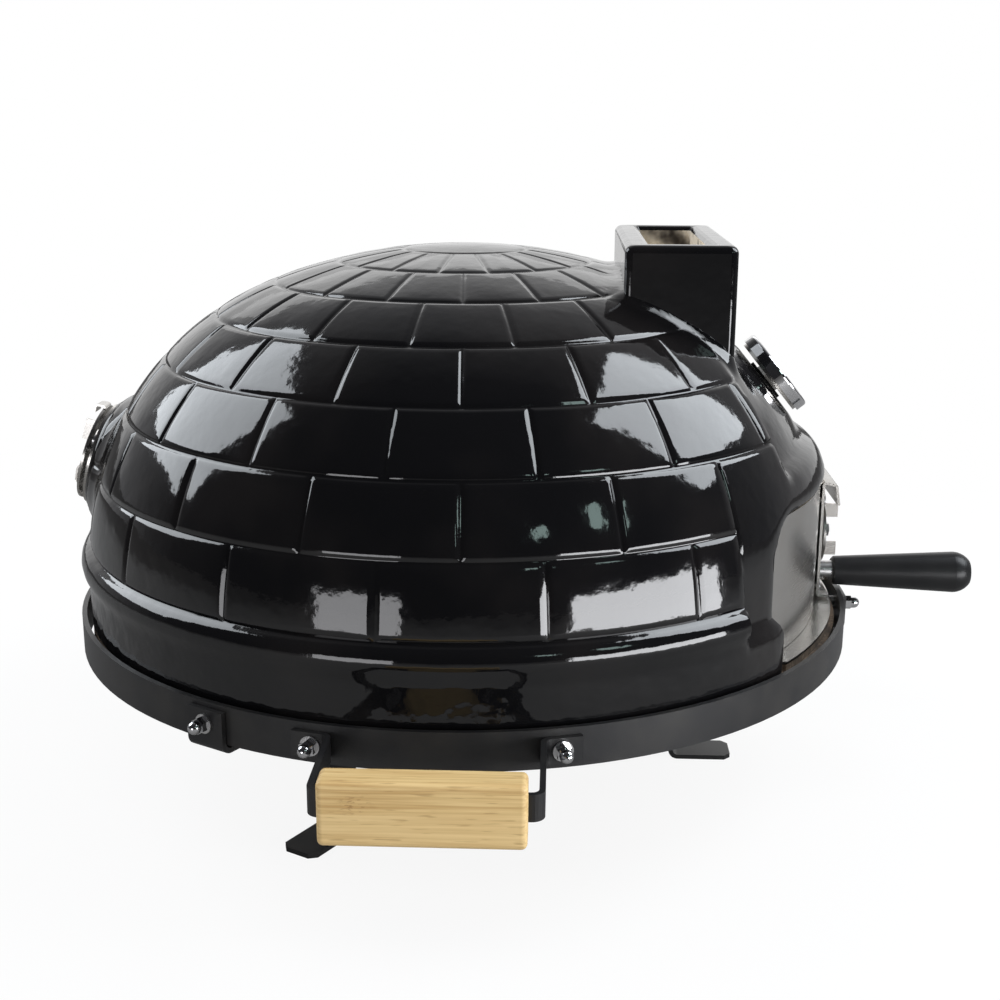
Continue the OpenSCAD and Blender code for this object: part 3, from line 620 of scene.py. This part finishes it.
def mouth_bar(half, top, corner):
    """A bar with the mouth's outline, from inside the oven to well before the front."""
    outline = [(half, 0), *arc_points(half - corner, top - corner, corner, 0, 90),
        *arc_points(corner - half, top - corner, corner, 90, 180), (-half, 0)]
    ends = (axis_y - 110 * mm, axis_y - 300 * mm)
    return skin("mouth", [[Vector((x, y, z)) for x, z in outline] for y in ends], "capped")


# Mouth with the step that the door closes against
step_r = 227.3 * mm
step_width = 7 * mm
step = mouth_bar(mouth_half, rim_z + mouth_top, mouth_round)
core = skin("core", turned([(step_r, -20 * mm), (step_r, 400 * mm)], axis_place, 240), "capped")
join(step, core, "DIFFERENCE")
join(dome, step, "DIFFERENCE")
opening = mouth_bar(mouth_half - step_width, rim_z + mouth_top - step_width, mouth_round - step_width)
join(dome, opening, "DIFFERENCE")

# Flat seat and hole of the thermometer
thermo_reach = 201.09 * mm
thermo_z = 267.24 * mm
thermo_lean = math.radians(51)
thermo_place = (Matrix.Translation((0, axis_y - thermo_reach, thermo_z))
    @ Matrix.Rotation(thermo_lean, 4, "X"))
seat = [(near_axis, -10 * mm), (30 * mm, -10 * mm), (32 * mm, -9.2 * mm), (33 * mm, -7 * mm)]
seat += [(34 * mm, 30 * mm)]
join(dome, skin("seat", turned(seat, thermo_place), "capped"), "DIFFERENCE")
hole = turned([(6.5 * mm, -50 * mm), (6.5 * mm, 5 * mm)], thermo_place, 32)
join(dome, skin("hole", hole, "capped"), "DIFFERENCE")

# Raw cream ceramic, stained by smoke, where the glaze was wiped off
raw_ceramic, start, point = finish("raw_ceramic")
grit = point.noise(420, 3)
smoke = point.noise(24, 4)
cream = grit.step(0.3, 0.7).blend((0.68, 0.59, 0.46, 1), (0.80, 0.72, 0.60, 1))
surface(start, {
    "Base Color": smoke.step(0.50, 0.66).blend(cream, (0.035, 0.026, 0.020, 1)),
    "Roughness": 0.75 + 0.2 * grit,
    "Normal": grit.bump(0.5, 0.25 * mm),
})
dome.data.materials.clear()
dome.data.materials.append(black_glaze)
dome.data.materials.append(raw_ceramic)
glazed_depth = 14 * mm
for face in dome.data.polygons:
    x, y, z = face.center
    f = axis_y - y
    r = math.hypot(x, f)
    if r < crown_r * math.sin(crown_end):
        depth = crown_r - math.hypot(r, z - crown_z)
    elif z > shoulder_z:
        depth = shoulder_r - math.hypot(r - shoulder_x, z - shoulder_z)
    else:
        depth = skirt_r - 1 * mm - r
    in_plan = abs(x) < flue_half_x + 0.6 * mm and abs(f - chimney_front) < flue_half_y + 0.8 * mm
    in_flue = in_plan and abs(face.normal.z) < 0.5
    face.material_index = 1 if depth > glazed_depth or in_flue else 0
dome.data.shade_smooth()
dome.data.set_sharp_from_angle(angle=math.radians(38))
flat_area = 150 * mm * mm
for face in dome.data.polygons:
    face.use_smooth = face.area < flat_area
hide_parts("dome")
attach(dome, "oven")

# Thermometer
# A bimetal dial instrument: pressed steel cup, chromed ring, printed dial and glass, on a threaded stem.
# Its neck passes through the dome and is held by a nut inside.
seal_rubber, start, point = finish("seal_rubber")
dust = point.noise(300, 3)
surface(start, {
    "Base Color": dust.blend((0.012, 0.012, 0.012, 1), (0.035, 0.034, 0.033, 1)),
    "Roughness": 0.6 + 0.2 * dust,
})
dress(seal_rubber, "thermometer_gasket")
dress(chrome, "thermometer_bezel")
dress(stainless, "thermometer_case", "thermometer_stem", "thermometer_nut")
dial_white, start, point = finish("dial_white")
tone = point.noise(60, 2)
surface(start, {
    "Base Color": tone.blend((0.46, 0.455, 0.44, 1), (0.51, 0.505, 0.49, 1)),
    "Roughness": 0.42 + 0.1 * tone,
})
dress(dial_white, "thermometer_dial")
print_black, start, point = finish("print_black")
tone = point.noise(200, 2)
surface(start, {
    "Base Color": tone.blend((0.008, 0.008, 0.008, 1), (0.018, 0.018, 0.018, 1)),
    "Roughness": 0.45 + 0.1 * tone,
})
dress(print_black, "thermometer_pointer")

# The dial's print: ticks round three quarters of it, and plain numbers
tick_count = 51
label_every = 10
label_step = 100
label_size = 4.6 * mm
label_r = 15.2 * mm
dial_drop = 3.46 * mm
tick_sizes = {
    "Radius": 22.6 * mm,
    "Tick length": 3.4 * mm,
    "Tick width": 0.5 * mm,
    "Tick depth": 0.06 * mm,
    "First tick": math.radians(225),
    "Step": math.radians(270 / (tick_count - 1)),
}
tree, size = size_tree("Dial ticks", tick_sizes)
start = Wire(tree)
row = start.node("GeometryNodeMeshLine", {}, {"Count": tick_count})
number = start.node("GeometryNodeInputIndex", {}, {})
angle = size["First tick"] - number * size["Step"]
stretch = 1 - 0.45 * (number % label_every).at_most(1)
centre = size["Radius"] - 0.5 * size["Tick length"] * stretch
spot = start.node("ShaderNodeCombineXYZ", {}, {
    "X": centre * angle.math("COSINE"), "Y": centre * angle.math("SINE")})
row = start.node("GeometryNodeSetPosition", {}, {"Geometry": row, "Position": spot})
tick = start.node("GeometryNodeMeshCube", {}, {"Size": start.node("ShaderNodeCombineXYZ", {}, {
    "X": size["Tick length"], "Y": size["Tick width"], "Z": size["Tick depth"]})})
ticks = start.node("GeometryNodeInstanceOnPoints", {}, {
    "Points": row,
    "Instance": tick,
    "Rotation": start.node("ShaderNodeCombineXYZ", {}, {"Z": angle}),
    "Scale": start.node("ShaderNodeCombineXYZ", {}, {"X": stretch, "Y": 1, "Z": 1}),
})
dial_print = grow("dial_print", ticks, print_black, tick_sizes)
stamp = bmesh.new()
stamp.from_mesh(dial_print.data)
for k in range(0, tick_count, label_every):
    figures = bpy.data.curves.new("number", "FONT")
    figures.body = str(label_step * k // label_every)
    figures.size = label_size
    figures.align_x = "CENTER"
    figures.align_y = "CENTER"
    figures.extrude = tick_sizes["Tick depth"] / 2
    label = bpy.data.objects.new("number", figures)
    bpy.context.scene.collection.objects.link(label)
    solid = bpy.data.meshes.new_from_object(label.evaluated_get(bpy.context.evaluated_depsgraph_get()))
    bpy.data.objects.remove(label)
    a = tick_sizes["First tick"] - k * tick_sizes["Step"]
    solid.transform(Matrix.Translation((label_r * math.cos(a), label_r * math.sin(a), 0)))
    stamp.from_mesh(solid)
stamp.to_mesh(dial_print.data)
stamp.free()
dial_print.data.transform(thermo_place @ Matrix.Translation((0, 0, -dial_drop)))
dial_print.data.materials.clear()
dial_print.data.materials.append(print_black)
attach(dial_print, "oven")
dial_glass, start, point = finish("dial_glass")
film = point.noise(70, 3)
surface(start, {
    "Base Color": (1, 1, 1, 1),
    "Transmission Weight": 1,
    "IOR": 1.45,
    "Roughness": 0.01 + 0.03 * film,
})
dress(dial_glass, "thermometer_glass")

# Rear vent
# A ported stainless plate, screwed to the boss, and a stamped disc with two folded tabs.
# The disc turns on a pivot held by a nut, and opens or closes the ports.
dress(stainless, "rear_vent_plate", "rear_vent_damper")
dress(bright_zinc, "rear_vent_screws", "rear_vent_spacer", "rear_vent_pivot", "rear_vent_nut")

# Door
# A curved stainless sheet with a folded vent plate riveted to it, a turning disc, and a black handle.
# It stands loose in the mouth and is lifted off by its handle.
dress(stainless, "door_panel", "door_vent_plate", "door_damper")
dress(bright_zinc, "door_vent_rivets", "door_vent_spacer", "door_pivot", "door_vent_nut")
dress(bright_zinc, "door_handle_stud", "door_handle_nut", "door_handle_ferrule")
black_handle, start, point = finish("black_handle")
grain = point.noise(900, 2)
touch = point.noise(45, 3)
surface(start, {
    "Base Color": touch.blend((0.008, 0.008, 0.009, 1), (0.016, 0.016, 0.016, 1)),
    "Roughness": 0.24 + 0.14 * touch + 0.06 * grain,
    "IOR": 1.36,
    "Normal": grain.bump(0.15, 0.05 * mm),
})
dress(black_handle, "door_handle")

# Side handles
# Bars glued up from bamboo strips, planed square, rounded over and oiled.
# Two screws from behind hold each bar to its brackets.
bamboo, start, point = finish("bamboo")
fibre = point.times(700, 16, 700).noise(1, 3)
fine = point.times(1800, 60, 1800).noise(1, 2)
dash = point.times(900, 70, 900).noise(1, 1)
strip_tone = point.times(1, 3, 75).noise(1, 1)
along, up = point.parts()[1:]
knot_y = axis_y + 31 * mm
knot_z = 120 * mm
off_knot = ((along - knot_y) ** 2 + (1.6 * (up - knot_z)) ** 2).math("SQRT")
knot = off_knot.step(11 * mm, 2 * mm)
fleck = point.times(420, 300, 1100).noise(1, 2)
wood = fibre.step(0.28, 0.72).blend((0.50, 0.315, 0.118, 1), (0.70, 0.510, 0.238, 1))
wood = (0.55 * strip_tone.step(0.35, 0.65)).blend(wood, (0.74, 0.550, 0.270, 1))
wood = (0.5 * dash.step(0.60, 0.72)).blend(wood, (0.36, 0.215, 0.075, 1))
surface(start, {
    "Base Color": (0.75 * knot * fleck.step(0.52, 0.64)).blend(wood, (0.30, 0.165, 0.055, 1)),
    "Roughness": 0.38 + 0.18 * fibre,
    "Normal": (fine - 0.6 * dash).bump(0.2, 0.12 * mm),
})


def planed_bar(name, low, high, edge):
    """A bar between two corners, with its edges rounded over."""
    made = bmesh.new()
    bmesh.ops.create_cube(made, size=1)
    for corner in made.verts:
        corner.co = Vector([low[i] + (corner.co[i] + 0.5) * (high[i] - low[i]) for i in range(3)])
    bmesh.ops.bevel(made, geom=made.edges[:], offset=edge, segments=5, profile=0.5, affect="EDGES")
    largest_round = 60 * mm * mm
    for face in made.faces:
        face.smooth = face.calc_area() < largest_round
    mesh = bpy.data.meshes.new(name)
    made.to_mesh(mesh)
    made.free()
    mesh.materials.append(bamboo)
    piece = bpy.data.objects.new(name, mesh)
    bpy.context.scene.collection.objects.link(piece)
    return piece


edge_round = 3 * mm
for side in ("left", "right"):
    bar = planed_bar(side + "_bamboo_bar", *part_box(side + "_grip"), edge_round)
    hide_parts(side + "_grip")
    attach(bar, "oven")

# Studio
# A pale cloth that fades into a white room, with a large soft box on either side of the oven.
# Small lamps and two window panes give the glaze its lesser reflections, and the camera looks from the left.


def sight(start):
    """1 where the camera sees a thing, straight or through glass, and 1 where a mirror shows it."""
    rays = start.node("ShaderNodeLightPath", {}, {}).socket.node.outputs
    straight = Wire(start.tree, rays["Is Camera Ray"])
    through = Wire(start.tree, rays["Is Transmission Ray"])
    return straight.at_least(through), Wire(start.tree, rays["Is Glossy Ray"])


floor, start, point = finish("studio_floor")
seen, mirrored = sight(start)
dusting = point.noise(3, 2)
pale = dusting.blend((0.84, 0.84, 0.84, 1), (0.87, 0.87, 0.87, 1))
cloth = start.node("ShaderNodeBsdfDiffuse", {}, {"Color": seen.blend((0.24, 0.235, 0.23, 1), pale)})
white = start.node("ShaderNodeEmission", {}, {"Color": (1, 1, 1, 1), "Strength": 1})
x, y = point.parts()[:2]
far = (x * x + y * y).math("SQRT").step(0.35, 1.1)
beyond = x.step(0.35, 1.6) * abs(y).step(1.0, 0.35)
lit = seen * (0.90 + 0.10 * far) + (1 - seen) * mirrored * 0.68 * beyond
start.node("ShaderNodeOutputMaterial", {}, {
    "Surface": start.node("ShaderNodeMixShader", {}, {0: lit, 1: cloth, 2: white})})
floor_mesh = bpy.data.meshes.new("floor")
reach = 12
corners = [(-reach, -reach, 0), (reach, -reach, 0), (reach, reach, 0), (-reach, reach, 0)]
floor_mesh.from_pydata(corners, [], [(0, 1, 2, 3)])
floor_mesh.materials.append(floor)
ground = bpy.data.objects.new("floor", floor_mesh)
bpy.context.scene.collection.objects.link(ground)

# The room is white to the camera, and in mirrors it grows from dark on the left to white on the right
world = bpy.data.worlds.new("studio")
world.use_nodes = True
world.node_tree.nodes.clear()
bpy.context.scene.world = world
start = Wire(world.node_tree)
away = start.node("ShaderNodeTexCoord", {}, {}, "Generated").parts()[0] * 0.5 + 0.5
seen, mirrored = sight(start)
room = start.node("ShaderNodeValToRGB", {"stops": [
    (0.0, (0.02, 0.02, 0.022, 1)),
    (0.48, (0.04, 0.04, 0.044, 1)),
    (0.6, (0.12, 0.12, 0.125, 1)),
    (0.82, (0.36, 0.36, 0.37, 1)),
    (0.95, (1, 1, 1, 1)),
]}, {0: away})
room = mirrored.blend((0.42, 0.42, 0.43, 1), room)
start.node("ShaderNodeOutputWorld", {}, {"Surface": start.node("ShaderNodeBackground", {}, {
    "Color": seen.blend(room, (1, 1, 1, 1)), "Strength": 1})})


def soft_box(name, bearing, height, distance, width, tall, power, colour):
    """A rectangular lamp that looks at the dome: bearing and height in degrees, power in watts."""
    lamp = bpy.data.objects.new(name, bpy.data.lights.new(name, "AREA"))
    lamp.data.shape = "RECTANGLE"
    lamp.data.size = width
    lamp.data.size_y = tall
    lamp.data.energy = power
    lamp.data.color = colour
    a, e = math.radians(bearing), math.radians(height)
    way = Vector((math.cos(a) * math.cos(e), math.sin(a) * math.cos(e), math.sin(e)))
    lamp.location = Vector((-0.1, axis_y, 0.25)) + way * distance
    lamp.rotation_euler = (-way).to_track_quat("-Z", "Y").to_euler()
    bpy.context.scene.collection.objects.link(lamp)
    return lamp


cool = (0.90, 0.95, 1.0)
pane = (0.75, 1.0, 0.95)
soft_box("left_box", 72, 32, 1.7, 1.15, 1.15, 18, cool)
soft_box("right_box", -80, 41, 1.7, 1.0, 1.15, 23, cool)
soft_box("back_box", 5, 27, 2.4, 2.4, 0.6, 2.6, (1.0, 1.0, 1.0))
soft_box("low_left", 154, -7, 0.95, 0.36, 0.26, 1.1, (0.97, 0.97, 1.0))
soft_box("low_right", -126, -7, 0.95, 0.78, 0.26, 6.4, (0.96, 0.97, 1.0))
soft_box("wide_window", -133, 27, 1.7, 0.2, 0.26, 0.6, pane)
soft_box("slim_window", -154, 24, 1.7, 0.1, 0.17, 0.2, pane)
front_fill = soft_box("front_fill", 180, 50, 2.2, 1.4, 0.5, 7, (1.0, 0.99, 0.97))
front_fill.visible_glossy = False

# The camera, fitted to the band and the courses
camera = bpy.data.objects.new("camera", bpy.data.cameras.new("camera"))
camera.data.sensor_width = 36
camera.data.lens = 52.2
camera.location = (-0.9324, -0.0204, 0.4273)
aim = Vector((0.96554, 0.03756, -0.25754)).to_track_quat("-Z", "Y")
camera.rotation_euler = (aim @ Quaternion((0, 0, 1), math.radians(0.24))).to_euler()
bpy.context.scene.collection.objects.link(camera)
bpy.context.scene.camera = camera
bpy.context.scene.view_settings.view_transform = "Standard"
